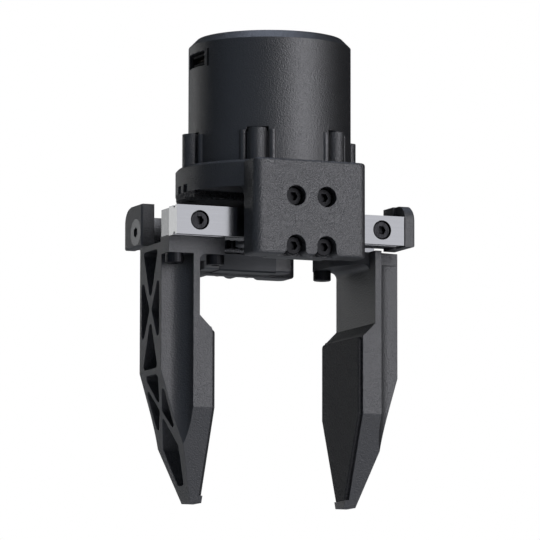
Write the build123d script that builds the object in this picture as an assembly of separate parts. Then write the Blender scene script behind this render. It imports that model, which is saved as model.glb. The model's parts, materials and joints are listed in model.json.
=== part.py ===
"""Electric two-finger parallel gripper with a rack-and-pinion drive.

A round motor can stands on a cast housing. Its shaft comes down through the housing and
carries a pinion, which drives two racks that lie either side of it. Each rack is bolted to
a miniature rail, which slides through a carriage screwed into one block of the housing, and
carries a finger. The rear side is the front side turned half a turn about the shaft.

Sizes are millimetres. X runs along the rails, -Y is the front and Z points up. Heights are
measured from the rails' centre plane, and the finished pieces are then lowered so that the
origin is the centre of the tool flange's top face, where a robot arm holds the gripper.
"""
from build123d import *
from math import acos, atan2, cos, degrees, pi, radians, sin, sqrt, tan
import os

# Clearances
slide_play = 0.20
hole_play = 0.05
seat_play = 0.05
part_gap = 0.10
thread_end = 0.5
screw_edge = 0.25

# Screws: shank radius, head radius, head height, hexagon across flats
m2 = dict(shank=1.0, head=1.9, tall=1.3, key=1.3)
m3 = dict(shank=1.5, head=2.75, tall=3.0, key=2.5)
m25_flat = dict(shank=1.25, head=2.2, key=1.5)
m3_flat = dict(shank=1.5, head=2.9, key=2.0)
m4_flat = dict(shank=2.0, head=4.15, key=2.8)

# Housing
can_r = 25.0
disc_shelf = 3.9
disc_top = 19.2
disc_bottom = 11.0
disc_edge = 0.8
notch_near = 0.95
notch_far = 3.8
notch_tall = 2.4
notch_deep = 1.2
block_half = 18.5
block_face = 33.0
block_inner = 24.4
block_top = 18.6
block_bottom = -10.5
block_corner = 2.8
block_edge = 0.9
tunnel_corner = 4.5
carriage_seat = 25.0
carriage_roof_gap = 0.3
boss_r = 2.8
boss_inset = 0.3
corner_boss_angle = 31.2
side_boss_outset = 0.9
boss_top = 29.1
boss_hole_roof = 6.0
counterbore_r = 3.1
counterbore_flare = 1.8
counterbore_head_depth = 2.5

# Motor can and its lid, the tool flange
can_top = 59.6
can_chamfer = 2.5
can_wall = 3.0
can_lower_wall = 7.4
coil_wall = 4.8
can_floor = 3.0
boss_pocket_play = 0.6
boss_pocket_gap = 0.5
bead_r = 1.2
bead_gap = 0.5
bead_inset = 0.4
bead_drop = 0.4
pocket_roof = 1.6
stator_seat = 33.8
hub_r = 10.5
flange_thick = 5.0
flange_boss_wall = 1.6
flange_thread_deep = 8.5
flange_bolt_circle = 31.5
flange_bolt_r = 2.1
recess_r = 10.0
recess_deep = 2.5
dowel_r = 2.5
dowel_deep = 4.0
lug_r = 2.2
lug_deep = 6.0
lug_floor = 1.0
can_screw_r = 14.0
lug_angles = (0, 90, 270)

# Cable socket
socket_y = -0.5
socket_wide = 11.6
socket_low = 49.9
socket_high = 54.4
socket_frame_gap = 0.6
socket_recess = 1.3
socket_body_long = 13.0
socket_nose_long = 5.0
socket_corner = 0.5
contact_half = 0.25
contact_inset = 1.0
socket_wall = 0.7
contact_deep = 4.5
slit_angle = 71.8
slit_wide = 0.6
slit_low = 49.5
slit_high = 55.0
slit_deep = 1.0
contact_count = 8
contact_pitch = 1.0

# Control board
board_gap = 4.5
board_low = 47.8
board_thick = 1.6
standoff_inset = 3.0
chip_half = 4.5
chip_tall = 1.0
bridge_long = 5.0
bridge_wide = 4.0
bridge_y = 8.0
capacitor_r = 2.0
capacitor_tall = 3.5
capacitor_x = 9.5
capacitor_y = 3.2
sensor_half = 2.0
sensor_tall = 0.8
standoff_flats = 4.0
standoff_thread = 4.0
stud_long = 1.8

# Shaft, bearings, rotor and stator
shaft_r = 4.0
shaft_edge = 0.4
bearing_r = 8.0
bearing_wide = 5.0
bearing_ball_r = 0.85
bearing_ring = 1.1
upper_bearing_low = 26.0
ball_count = 10
shaft_top = 44.5
magnet_thick = 1.5
magnet_count = 10
rotor_low = 34.0
rotor_high = 44.0
rotor_web = 4.0
rotor_rim = 2.0
air_gap = 0.5
stator_tall = 10.0
stator_deep = 8.45
stator_back = 2.2
slot_count = 12
tooth_share = 0.553
shoe_share = 0.857
shoe_deep = 1.1
coil_gap = 1.08
coil_end = 1.8
coil_corner = 1.2
encoder_r = 3.0
encoder_tall = 2.0
web_hole_r = 1.4
web_hole_count = 5
magnet_share = 0.88

# Pinion and racks
module = 0.8
pinion_teeth = 24
pressure_angle = 20.0
backlash = 0.10
root_gap = 0.2
pinion_half = 4.0
pinion_hub_r = 6.5
pinion_hub_top = 8.0
washer_r = 5.5
washer_thick = 1.5
pinion_screw_long = 12.0
rack_half = 4.1
rack_back = 15.0
rack_short = 0.9
teeth_left = -26.0
teeth_right = 27.0

# Retainer bar under the lower bearing
bar_half = 7.5
bar_thick = 2.5
bar_edge = 0.6

# Rails and carriages
rail_half = 4.45
rail_thick = 6.5
rail_proud = 0.03
rail_length = 75.0
rail_pitch = 20.0
rail_first = 7.5
rail_last_least = 7.0
rail_groove_out = 2.2
rail_groove_r = 0.8
rail_bore_r = 3.0
rail_bore_deep = 3.5
rail_thread = 3.8
carriage_half = 9.45
carriage_wide = 10.0
carriage_foot = 17.0
carriage_edge = 0.5
cap_long = 5.0
cap_inset = 0.3
cap_edge = 0.8
carriage_hole_x = 5.0
carriage_hole_z = 7.5
carriage_thread = 3.0

# End brackets
bracket_low = -4.8
bracket_high = 8.15
bracket_near = 7.6
bracket_far = 21.9
bracket_thick = 4.2
bracket_corner = 5.0
bracket_edge = 0.4
bracket_screw_y = 12.6
bracket_screw_z = -0.2
bracket_screw_long = 8.0

# Fingers (left one; the right one is its half turn)
finger_outer = 39.1
plate_long = 18.2
plate_relief = 1.4
plate_bottom = -9.3
plate_near = 15.0
plate_far = 10.3
own_zone = 8.2
flank = 8.85
channel_r = 5.0
body_deep = 8.05
wall_thick = 2.1
wall_half = 15.0
pad_block_deep = 4.15
pad_thick = 1.2
pad_chamfer = 0.25
pad_half = 14.0
pad_block_top = -31.3
pad_top = -32.2
pad_low = -81.7
pad_corner = 1.2
plate_throat_r = 2.0
pad_throat_r = 3.4
bend_z = -44.1
outer_slope = 0.295
taper_z = -55.8
taper_slope = 0.415
tip_z = -83.9
finger_screw_y = 12.2
outer_screw_inset = 2.9
inner_screw_inset = 2.0
finger_thread = 5.0
pad_edge = 0.5
plate_turn = 2.2
plate_sweep_in = 2.0
plate_sweep_y = 3.9
plate_end_slope = 0.25
# Truss pockets in the outer face: half widths, and heights below the rack or above the bend
pocket_corner = 1.2
pocket_head = 1.8
upper_half = 6.1
upper_long = 15.9
lower_end = 0.6
side_edge = 7.25
side_half = 11.9
node_half = 0.75
slope_head = 1.2
slope_half = 5.6
slope_long = 9.2
slope_side_top = 3.2
slope_side_long = 16.2
slope_node = 11.9
slope_edge = 7.1
deep_head = 13.4
deep_shoulder = 23.1
deep_half = 6.4
deep_end = 34.5
deep_end_half = 2.4
lower_pocket_deep = 5.0
floor_behind = 2.2

# Worked out from the sizes above
disc_r = can_r + disc_shelf
can_bore = can_r - can_wall
can_lower_bore = can_r - can_lower_wall
coil_bore = can_r - coil_wall
boss_pocket_r = boss_r + boss_pocket_play
corner_boss_x = (can_r - boss_inset) * sin(radians(corner_boss_angle))
corner_boss_y = (can_r - boss_inset) * cos(radians(corner_boss_angle))
side_boss_x = can_r + side_boss_outset
flange_boss_r = flange_bolt_r + flange_boss_wall
flange_screw_r = can_bore - lug_r
socket_shoulder = -can_r + socket_nose_long
socket_body_x = -can_r + socket_body_long
board_r = can_bore - board_gap
standoff_at = board_r - standoff_inset
rail_left = -(finger_outer + rail_proud)
rail_right = rail_left + rail_length
rack_right = rail_right - rack_short
rail_screw_count = int((rail_length - rail_first - rail_last_least) / rail_pitch) + 1
pitch_r = module * pinion_teeth / 2
rack_tip = pitch_r - module
rack_root = pitch_r + module + root_gap
tooth_pitch = pi * module
rail_out = rack_back + rail_thick
bar_low = disc_bottom - bar_thick
pocket_roof_z = boss_top + boss_pocket_gap
stator_r = can_bore - seat_play
stator_bore = stator_r - stator_deep
magnet_r = stator_bore - air_gap
rotor_r = magnet_r - magnet_thick
web_hole_at = (rotor_r - rotor_rim + shaft_r) / 2
slot_pitch = 2 * stator_bore * tan(pi / slot_count)
tooth_wide = slot_pitch * tooth_share
shoe_wide = slot_pitch * shoe_share
coil_inner = stator_bore + shoe_deep + part_gap
coil_wide = 2 * coil_inner * tan(pi / slot_count) - coil_gap
plate_inner = finger_outer - plate_long
wall_back = finger_outer - body_deep
wall_face = wall_back - wall_thick
pad_block_face = wall_face - pad_block_deep
finger_screw_out = finger_outer - outer_screw_inset
finger_screw_in = plate_inner + inner_screw_inset
plate_sweep_x = plate_inner + plate_sweep_in
pad_face = pad_block_face - pad_thick
flange_low = can_top - flange_thick
plate_top = -rack_half
relief_top = plate_top - plate_relief


def box(x0, x1, y0, y1, z0, z1):
    """A block between two opposite corners."""
    return Pos((x0 + x1) / 2, (y0 + y1) / 2, (z0 + z1) / 2) * Box(x1 - x0, y1 - y0, z1 - z0)


def rod(x, y, z0, z1, r):
    """An upright cylinder between two heights."""
    return Pos(x, y, (z0 + z1) / 2) * Cylinder(r, z1 - z0)


def tube(z0, z1, outer, inner):
    """An upright ring about the shaft's axis."""
    return rod(0, 0, z0, z1, outer) - rod(0, 0, z0, z1, inner)


def rod_y(x, z, y0, y1, r):
    """A cylinder along Y."""
    return Pos(x, (y0 + y1) / 2, z) * Rot(90, 0, 0) * Cylinder(r, abs(y1 - y0))


def rod_x(y, z, x0, x1, r):
    """A cylinder along X."""
    return Pos((x0 + x1) / 2, y, z) * Rot(0, 90, 0) * Cylinder(r, abs(x1 - x0))


def around(count, piece, start=0.0):
    """Copies of a piece at equal angles about the shaft's axis."""
    return [Rot(0, 0, start + 360.0 * i / count) * piece for i in range(count)]


def half_turn(piece):
    """The rear twin of a front piece."""
    return Rot(0, 0, 180) * piece


def hexagon(flats, z0, z1):
    """An upright hexagonal prism across its flats."""
    sketch = RegularPolygon(flats / 2, 6, major_radius=False)
    return extrude(Pos(0, 0, z0) * sketch, amount=z1 - z0, dir=(0, 0, 1))


def socket_screw(size, length):
    """Socket-head cap screw: the head sits on Z 0, and the shank hangs below."""
    head = rod(0, 0, 0, size["tall"], size["head"])
    head = chamfer(head.edges().group_by(Axis.Z)[-1], screw_edge)
    recess = hexagon(size["key"], size["tall"] * 0.45, size["tall"])
    return head + rod(0, 0, -length, 0, size["shank"]) - recess


def countersunk_screw(size, length):
    """Flat-head screw: its top face is Z 0, and its whole length hangs below."""
    cone_deep = size["head"] - size["shank"]
    cone = Pos(0, 0, -cone_deep / 2) * Cone(size["shank"], size["head"], cone_deep)
    shank = rod(0, 0, -length, -cone_deep, size["shank"])
    recess = hexagon(size["key"], -cone_deep * 0.7, 0)
    return cone + shank - recess


def countersink(size, deep):
    """The hole a flat-head screw leaves below Z 0."""
    cone_deep = size["head"] - size["shank"]
    cone = Pos(0, 0, -cone_deep / 2) * Cone(size["shank"] + hole_play, size["head"] + hole_play, cone_deep)
    return cone + rod(0, 0, -deep, 0, size["shank"] + hole_play)


# Gear teeth
def involute(angle):
    return tan(angle) - angle


def gear_face(teeth, steps=6):
    """Outline of an involute gear with one tooth pointing along +X."""
    pitch = module * teeth / 2
    base = pitch * cos(radians(pressure_angle))
    tip = pitch + module
    root = pitch - module - root_gap
    half_pitch = (tooth_pitch / 2 - backlash / 2) / 2 / pitch
    half_base = half_pitch + involute(radians(pressure_angle))
    flank_line = []
    for i in range(steps + 1):
        r = base + (tip - base) * i / steps
        flank_line.append((r, half_base - involute(acos(min(1.0, base / r)))))
    points = []
    for k in range(teeth):
        middle = 2 * pi * k / teeth
        points.append((root * cos(middle - half_base), root * sin(middle - half_base)))
        for r, half in flank_line:
            points.append((r * cos(middle - half), r * sin(middle - half)))
        for r, half in reversed(flank_line):
            points.append((r * cos(middle + half), r * sin(middle + half)))
        points.append((root * cos(middle + half_base), root * sin(middle + half_base)))
    return Polygon(*points, align=None)


def rack_face():
    """Plan outline of the front rack bar, with a gap on the shaft's centre line."""
    slope = tan(radians(pressure_angle))
    half = tooth_pitch / 4 + backlash / 4
    half_tip = half + module * slope
    half_root = half - (module + root_gap) * slope
    points = [(rail_left, -rack_back), (rack_right, -rack_back), (rack_right, -rack_tip)]
    last = int(teeth_right / tooth_pitch)
    first = int(teeth_left / tooth_pitch)
    for k in range(last, first - 1, -1):
        middle = k * tooth_pitch
        points.append((middle + half_tip, -rack_tip))
        points.append((middle + half_root, -rack_root))
        points.append((middle - half_root, -rack_root))
        points.append((middle - half_tip, -rack_tip))
    points.append((rail_left, -rack_tip))
    return Polygon(*points, align=None)


# Housing
def front_block():
    """One of the two blocks that hold the carriages."""
    outline = Pos(0, -(block_face + block_inner) / 2) * Rectangle(2 * block_half, block_face - block_inner)
    outer_corners = outline.vertices().group_by(Axis.Y)[0]
    outline = fillet(outer_corners, block_corner)
    block = extrude(Pos(0, 0, block_bottom) * outline, amount=block_top - block_bottom, dir=(0, 0, 1))
    return fillet(block.faces().sort_by(Axis.Y)[0].edges(), block_edge)


def screw_recess(x, z):
    """Counterbore and clearance hole for one carriage screw, from the front face."""
    floor = block_face - counterbore_head_depth - m3["tall"]
    hole = rod_y(x, z, -block_face - 1, -floor, counterbore_r)
    if z < 0:
        hole += box(x - counterbore_r, x + counterbore_r, -block_face - 1, -floor, block_bottom - 1, z)
        for side in (-1, 1):
            hole += flare(x + side * counterbore_r, side, -floor)
    return hole + rod_y(x, z, -block_face, -block_inner, m3["shank"] + part_gap)


def flare(x, side, y_end):
    """Rounds the lower corner of the block beside an open counterbore."""
    r = counterbore_flare
    far = x + side * r
    cut = box(min(x, far), max(x, far), -block_face - 1, y_end, block_bottom - 1, block_bottom + r)
    return cut - rod_y(far, block_bottom + r, -block_face - 2, y_end + 1, r)


def boss_places():
    """Centres of the six posts around the can: four at the corners and one at each side."""
    places = [(x, y) for x in (-corner_boss_x, corner_boss_x) for y in (-corner_boss_y, corner_boss_y)]
    return places + [(-side_boss_x, 0), (side_boss_x, 0)]


def housing():
    disc = rod(0, 0, disc_bottom, disc_top, disc_r)
    disc = chamfer(disc.edges().group_by(Axis.Z)[-1], disc_edge)
    body = disc + front_block() + half_turn(front_block())
    corner = box(-block_half, block_half, -block_inner - 0.01, -block_inner + tunnel_corner,
                 disc_bottom - tunnel_corner, disc_bottom + 0.01)
    corner -= rod_x(-block_inner + tunnel_corner, disc_bottom - tunnel_corner,
                    -block_half - 1, block_half + 1, tunnel_corner)
    body += corner + half_turn(corner)
    seat_half = carriage_half + cap_long + slide_play
    seat = box(-seat_half, seat_half, -carriage_seat, -carriage_foot + slide_play,
               block_bottom - 1, carriage_wide + carriage_roof_gap)
    cuts = seat + half_turn(seat)
    for x in (-carriage_hole_x, carriage_hole_x):
        for z in (-carriage_hole_z, carriage_hole_z):
            recess = screw_recess(x, z)
            cuts += recess + half_turn(recess)
    body -= cuts
    for x, y in boss_places():
        body += rod(x, y, disc_top - 1, boss_top, boss_r)
    for side in (-1, 1):
        body -= rod(side * side_boss_x, 0, disc_bottom - 1, boss_top - boss_hole_roof, m25_flat["shank"] + hole_play)
        rim = side * (disc_r - notch_deep)
        for y in (-notch_far, notch_near):
            body -= box(min(rim, side * (disc_r + 1)), max(rim, side * (disc_r + 1)),
                        y, y + notch_far - notch_near, disc_bottom - 1, disc_bottom + notch_tall)
    body -= rod(0, 0, disc_bottom - 1, disc_bottom + bearing_wide, bearing_r + hole_play)
    body -= rod(0, 0, disc_bottom, disc_top + 1, bearing_r - bearing_ring)
    for x, y in can_screw_places():
        body -= rod(x, y, disc_bottom - 1, disc_bottom + m3["tall"] + part_gap, m3["head"] + part_gap)
        body -= rod(x, y, disc_bottom, disc_top + 1, m3["shank"] + part_gap)
    return body


def can_screw_places():
    """Centres of the four screws that hold the can down on the housing."""
    return [(can_screw_r * cos(radians(a)), can_screw_r * sin(radians(a))) for a in (0, 90, 180, 270)]


def retainer_bar():
    """Bar under the lower bearing, with its ends cut to the disc's round rim."""
    bar = box(-disc_r, disc_r, -bar_half, bar_half, bar_low, disc_bottom)
    bar &= rod(0, 0, bar_low, disc_bottom, disc_r)
    bar = chamfer(bar.faces().sort_by(Axis.Z)[0].edges(), bar_edge)
    bar -= rod(0, 0, bar_low - 1, disc_bottom + 1, bearing_r - bearing_ring)
    for x in (-side_boss_x, side_boss_x):
        bar -= Pos(x, 0, bar_low) * Rot(180, 0, 0) * countersink(m25_flat, bar_thick + 1)
    return bar


def retainer_screws():
    long = boss_top - boss_hole_roof - thread_end - bar_low
    screw = Pos(0, 0, bar_low) * Rot(180, 0, 0) * countersunk_screw(m25_flat, long)
    return [Pos(x, 0, 0) * screw for x in (-side_boss_x, side_boss_x)]


# Motor can
def slit_box():
    """Thin upright groove beside the cable socket."""
    y = -can_r * cos(radians(slit_angle))
    x = -can_r * sin(radians(slit_angle))
    cut = box(-slit_deep, slit_deep, -slit_wide / 2, slit_wide / 2, slit_low, slit_high)
    return Pos(x, y, 0) * Rot(0, 0, degrees(atan2(y, x))) * cut


def can_foot():
    """Plan of the can's foot: a circle with a scallop for each post."""
    plan = Circle(can_r)
    for x, y in boss_places():
        plan -= Pos(x, y) * Circle(boss_pocket_r)
    return plan


def bead_places():
    """Centres of the round beads that edge each scallop on both sides."""
    places = []
    at = can_r - bead_inset
    for x, y in boss_places():
        post_at = sqrt(x * x + y * y)
        apart = boss_r + bead_gap + bead_r
        turn = acos((at * at + post_at * post_at - apart * apart) / (2 * at * post_at))
        middle = atan2(y, x)
        places += [(at * cos(middle + side * turn), at * sin(middle + side * turn)) for side in (-1, 1)]
    return places


def motor_can():
    can = rod(0, 0, pocket_roof_z, can_top, can_r)
    can += extrude(Pos(0, 0, disc_top) * can_foot(), amount=pocket_roof_z - disc_top, dir=(0, 0, 1))
    can = chamfer(can.edges().group_by(Axis.Z)[-1], can_chamfer)
    for x, y in bead_places():
        can += rod(x, y, disc_top, boss_top - bead_drop, bead_r)
    can -= rod(0, 0, stator_seat, can_top + 1, can_bore)
    can -= rod(0, 0, pocket_roof_z + pocket_roof, stator_seat, coil_bore)
    can -= tube(disc_top + can_floor, pocket_roof_z + pocket_roof, can_lower_bore, hub_r)
    can -= rod(0, 0, upper_bearing_low + bearing_wide, stator_seat, hub_r)
    can -= rod(0, 0, upper_bearing_low, upper_bearing_low + bearing_wide + 1, bearing_r + hole_play)
    can -= rod(0, 0, disc_top - 1, upper_bearing_low + 1, bearing_r - bearing_ring)
    for x, y in can_screw_places():
        can -= rod(x, y, disc_top - 1, disc_top + can_floor + 1, m3["shank"] + hole_play)
    for angle in lug_angles:
        x = flange_screw_r * cos(radians(angle))
        y = flange_screw_r * sin(radians(angle))
        lug = rod(x, y, flange_low - lug_deep, flange_low, lug_r)
        lug += Pos(x, y, 0) * Rot(0, 0, angle) * box(0, can_bore - flange_screw_r + 0.5, -lug_r, lug_r,
                                                     flange_low - lug_deep, flange_low)
        can += lug & rod(0, 0, flange_low - lug_deep, flange_low, can_bore + 0.5)
        can -= rod(x, y, flange_low - lug_deep + lug_floor, flange_low + 1, m2["shank"] + hole_play)
    can -= box(-can_r - 1, -can_bore + 3, socket_y - socket_wide / 2, socket_y + socket_wide / 2,
               socket_low, socket_high)
    return can - slit_box()


def tool_flange():
    """Lid of the can: centring recess, dowel hole and threads for the robot's bolts."""
    lid = rod(0, 0, flange_low, can_top, can_bore - seat_play)
    for angle in (45, 135, 225, 315):
        x = flange_bolt_circle / 2 * cos(radians(angle))
        y = flange_bolt_circle / 2 * sin(radians(angle))
        lid += rod(x, y, can_top - flange_thread_deep - 1, flange_low + 0.5, flange_boss_r)
        lid -= rod(x, y, can_top - flange_thread_deep, can_top + 1, flange_bolt_r)
    lid -= rod(0, 0, can_top - recess_deep, can_top + 1, recess_r)
    lid -= rod(-flange_bolt_circle / 2, 0, can_top - dowel_deep, can_top + 1, dowel_r)
    for angle in lug_angles:
        x = flange_screw_r * cos(radians(angle))
        y = flange_screw_r * sin(radians(angle))
        lid -= Pos(x, y, can_top) * countersink(m2, flange_thick + 1)
    for x, y in standoff_places():
        lid -= rod(x, y, flange_low - 1, flange_low + stud_long + part_gap, m2["shank"] + hole_play)
    return lid


def flange_screws():
    long = flange_thick + lug_deep - lug_floor - thread_end
    screws = []
    for angle in lug_angles:
        x = flange_screw_r * cos(radians(angle))
        y = flange_screw_r * sin(radians(angle))
        screws.append(Pos(x, y, can_top) * countersunk_screw(m2, long))
    return screws


def can_screws():
    long = disc_top + can_floor - thread_end - (disc_bottom + m3["tall"])
    screw = Pos(0, 0, disc_bottom + m3["tall"]) * Rot(180, 0, 0) * socket_screw(m3, long)
    return [Pos(x, y, 0) * screw for x, y in can_screw_places()]


# Cable socket and control board
def cable_socket():
    low = socket_low + socket_frame_gap
    high = socket_high - socket_frame_gap
    left = socket_y - socket_wide / 2 + socket_frame_gap
    right = socket_y + socket_wide / 2 - socket_frame_gap
    front = -can_r + socket_recess
    board_top = board_low + board_thick
    body = box(socket_shoulder, socket_body_x, left, right, board_top, flange_low - part_gap)
    nose = box(front, socket_shoulder, left, right, low, high)
    nose = fillet(nose.edges().filter_by(Axis.X), socket_corner)
    body += nose
    mouth = box(front - 1, front + contact_deep, left + socket_wall, right - socket_wall,
                low + socket_wall, high - socket_wall)
    return body - mouth


def socket_contacts():
    """Flat contacts that stand out of the socket's floor, in one row."""
    middle = (socket_low + socket_high) / 2
    pins = []
    for i in range(contact_count):
        y = socket_y + (i - (contact_count - 1) / 2) * contact_pitch
        pins.append(box(-can_r + socket_recess + contact_inset, -can_r + socket_recess + contact_deep,
                        y - contact_half, y + contact_half, middle - contact_half, middle + contact_half))
    return pins


def standoff_places():
    return [(standoff_at * cos(radians(a)), standoff_at * sin(radians(a))) for a in lug_angles]


def control_board():
    board = rod(0, 0, board_low, board_low + board_thick, board_r)
    for x, y in standoff_places():
        board -= rod(x, y, board_low - 1, board_low + board_thick + 1, m2["shank"] + part_gap)
    return board


def board_chips():
    """Processor, driver bridges, encoder sensor and capacitors on both faces of the board."""
    top = board_low + board_thick
    chips = [box(-chip_half, chip_half, -chip_half, chip_half, top, top + chip_tall)]
    for y in (-bridge_y, bridge_y):
        chips.append(box(-bridge_long / 2, bridge_long / 2, y - bridge_wide / 2, y + bridge_wide / 2,
                         top, top + chip_tall))
    for y in (-capacitor_y, capacitor_y):
        chips.append(rod(capacitor_x, y, top, top + capacitor_tall, capacitor_r))
    chips.append(box(-sensor_half, sensor_half, -sensor_half, sensor_half, board_low - sensor_tall, board_low))
    return chips


def board_standoffs():
    top = board_low + board_thick
    post = hexagon(standoff_flats, top, flange_low)
    post += rod(0, 0, flange_low - 1, flange_low + stud_long, m2["shank"])
    post -= rod(0, 0, top - 1, top + standoff_thread, m2["shank"] + hole_play)
    return [Pos(x, y, 0) * post for x, y in standoff_places()]


def board_screws():
    long = board_thick + standoff_thread - thread_end
    screw = Pos(0, 0, board_low) * Rot(180, 0, 0) * socket_screw(m2, long)
    return [Pos(x, y, 0) * screw for x, y in standoff_places()]


# Motor
def stator_core():
    low = stator_seat
    high = stator_seat + stator_tall
    core = tube(low, high, stator_r, stator_r - stator_back)
    for tooth in around(slot_count, box(stator_bore + 0.6, stator_r - stator_back + 0.4,
                                        -tooth_wide / 2, tooth_wide / 2, low, high)):
        core += tooth
    shoe = tube(low, high, stator_bore + shoe_deep, stator_bore)
    shoe &= box(0, stator_bore + 2, -shoe_wide / 2, shoe_wide / 2, low, high)
    for piece in around(slot_count, shoe):
        core += piece
    return core


def stator_windings():
    low = stator_seat - coil_end
    high = stator_seat + stator_tall + coil_end
    outer = sqrt((stator_r - stator_back - part_gap) ** 2 - (coil_wide / 2) ** 2)
    coil = box(coil_inner, outer, -coil_wide / 2, coil_wide / 2, low, high)
    coil = fillet(coil.edges().filter_by(Axis.X), coil_corner)
    hole = box(coil_inner - 1, outer + 1, -tooth_wide / 2 - part_gap, tooth_wide / 2 + part_gap,
               stator_seat - part_gap, stator_seat + stator_tall + part_gap)
    return around(slot_count, coil - hole)


def bearing_low(index):
    return disc_bottom if index == 0 else upper_bearing_low


def bearing_outer(index):
    """Outer ring with its ball groove."""
    low = bearing_low(index)
    ring = tube(low, low + bearing_wide, bearing_r, bearing_r - bearing_ring)
    return ring - ball_groove(low)


def bearing_inner(index):
    low = bearing_low(index)
    ring = tube(low, low + bearing_wide, shaft_r + bearing_ring, shaft_r)
    return ring - ball_groove(low)


def ball_track_r():
    return (bearing_r + shaft_r) / 2


def ball_groove(low):
    return Pos(0, 0, low + bearing_wide / 2) * Torus(ball_track_r(), bearing_ball_r + hole_play)


def bearing_balls(index):
    middle = bearing_low(index) + bearing_wide / 2
    return around(ball_count, Pos(ball_track_r(), 0, middle) * Sphere(bearing_ball_r))


def motor_shaft():
    shaft = rod(0, 0, -pinion_half + washer_thick, shaft_top, shaft_r)
    shaft = chamfer(shaft.edges().group_by(Axis.Z)[-1], shaft_edge)
    return shaft - rod(0, 0, -pinion_half, -pinion_half + pinion_screw_long + 1, m3["shank"] + hole_play)


def rotor_hub():
    """Steel carrier pressed on the shaft: a web with a rim that holds the magnets."""
    rim = tube(rotor_low, rotor_high, rotor_r, rotor_r - rotor_rim)
    web = tube(rotor_high - rotor_web, rotor_high, rotor_r - rotor_rim + 0.5, shaft_r + seat_play / 5)
    hub = rim + web
    hole = rod(web_hole_at, 0, rotor_high - rotor_web - 1, rotor_high + 1, web_hole_r)
    for one in around(web_hole_count, hole):
        hub -= one
    return hub


def rotor_magnets():
    ring = tube(rotor_low, rotor_high, magnet_r, rotor_r)
    share = 360.0 / magnet_count * magnet_share
    far = magnet_r * 2
    wedge = Polygon((0, 0), (far * cos(radians(share / 2)), -far * sin(radians(share / 2))),
                    (far * cos(radians(share / 2)), far * sin(radians(share / 2))), align=None)
    block = ring & extrude(Pos(0, 0, rotor_low) * wedge, amount=rotor_high - rotor_low, dir=(0, 0, 1))
    return around(magnet_count, block)


def encoder_magnet():
    return rod(0, 0, shaft_top, shaft_top + encoder_tall, encoder_r)


# Pinion and racks
def pinion_gear():
    gear = extrude(Pos(0, 0, -pinion_half) * Rot(0, 0, -90) * gear_face(pinion_teeth),
                   amount=2 * pinion_half, dir=(0, 0, 1))
    gear += rod(0, 0, pinion_half - 0.5, pinion_hub_top, pinion_hub_r)
    gear -= rod(0, 0, -pinion_half - 1, pinion_hub_top + 1, shaft_r)
    return gear - rod(0, 0, -pinion_half - 1, -pinion_half + washer_thick, washer_r + hole_play)


def pinion_washer():
    """Thick washer that clamps the pinion on the shaft's end."""
    washer = rod(0, 0, -pinion_half, -pinion_half + washer_thick, washer_r)
    return washer - Pos(0, 0, -pinion_half) * Rot(180, 0, 0) * countersink(m3_flat, washer_thick + 1)


def pinion_screw():
    return Pos(0, 0, -pinion_half) * Rot(180, 0, 0) * countersunk_screw(m3_flat, pinion_screw_long)


def front_rack():
    bar = extrude(Pos(0, 0, -rack_half) * rack_face(), amount=2 * rack_half, dir=(0, 0, 1))
    for x in rail_hole_places():
        bar -= rod_y(x, 0, -rack_back - 1, -rack_back + rail_thread, m3["shank"] + hole_play)
    for x in (-finger_screw_out, -finger_screw_in):
        bar -= rod(x, -finger_screw_y, -rack_half - 1, -rack_half + finger_thread, m3["shank"] + hole_play)
    hole_end = rack_right + bracket_thick - bracket_screw_long - thread_end
    bar -= rod_x(-bracket_screw_y, bracket_screw_z, hole_end, rack_right + 1, m4_flat["shank"] + hole_play)
    return bar


def rail_hole_places():
    return [rail_left + rail_first + rail_pitch * i for i in range(rail_screw_count)]


def front_rail():
    """Miniature rail on its side: base against the rack, screw heads facing out."""
    rail = box(rail_left, rail_right, -rail_out, -rack_back, -rail_half, rail_half)
    groove_y = -rail_out + rail_groove_out
    for z in (-rail_half, rail_half):
        rail -= rod_x(groove_y, z, rail_left - 1, rail_right + 1, rail_groove_r)
    for x in rail_hole_places():
        rail -= rod_y(x, 0, -rail_out - 1, -rail_out + rail_bore_deep, rail_bore_r)
        rail -= rod_y(x, 0, -rail_out, -rack_back + 1, m3["shank"] + part_gap)
    return rail


def front_rail_screws():
    head_seat = -rail_out + rail_bore_deep
    long = -head_seat - rack_back + rail_thread - thread_end
    screw = Pos(0, head_seat, 0) * Rot(90, 0, 0) * socket_screw(m3, long)
    return [Pos(x, 0, 0) * screw for x in rail_hole_places()]


def rail_slot(half_x):
    """Channel of a carriage that runs over the rail."""
    return box(-half_x, half_x, -rail_out - slide_play, -carriage_foot + 1,
               -rail_half - slide_play, rail_half + slide_play)


def front_carriage():
    body = box(-carriage_half, carriage_half, -carriage_seat, -carriage_foot, -carriage_wide, carriage_wide)
    body = chamfer(body.edges().filter_by(Axis.X), carriage_edge)
    body -= rail_slot(carriage_half + 1)
    for x in (-carriage_hole_x, carriage_hole_x):
        for z in (-carriage_hole_z, carriage_hole_z):
            body -= rod_y(x, z, -carriage_seat - 1, -carriage_seat + carriage_thread, m3["shank"] + hole_play)
    return body


def front_carriage_caps():
    caps = []
    for side in (-1, 1):
        inner = side * carriage_half
        outer = side * (carriage_half + cap_long)
        cap = box(min(inner, outer), max(inner, outer), -carriage_seat + cap_inset, -carriage_foot - cap_inset,
                  -carriage_wide + cap_inset, carriage_wide - cap_inset)
        cap = fillet(cap.edges().filter_by(Axis.X), cap_edge)
        caps.append(cap - rail_slot(carriage_half + cap_long + 1))
    return caps


def front_carriage_screws():
    seat = -block_face + counterbore_head_depth + m3["tall"]
    long = carriage_thread - thread_end - (seat + carriage_seat)
    screw = Pos(0, seat, 0) * Rot(90, 0, 0) * socket_screw(m3, long)
    return [Pos(x, 0, z) * screw for x in (-carriage_hole_x, carriage_hole_x)
            for z in (-carriage_hole_z, carriage_hole_z)]


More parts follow.
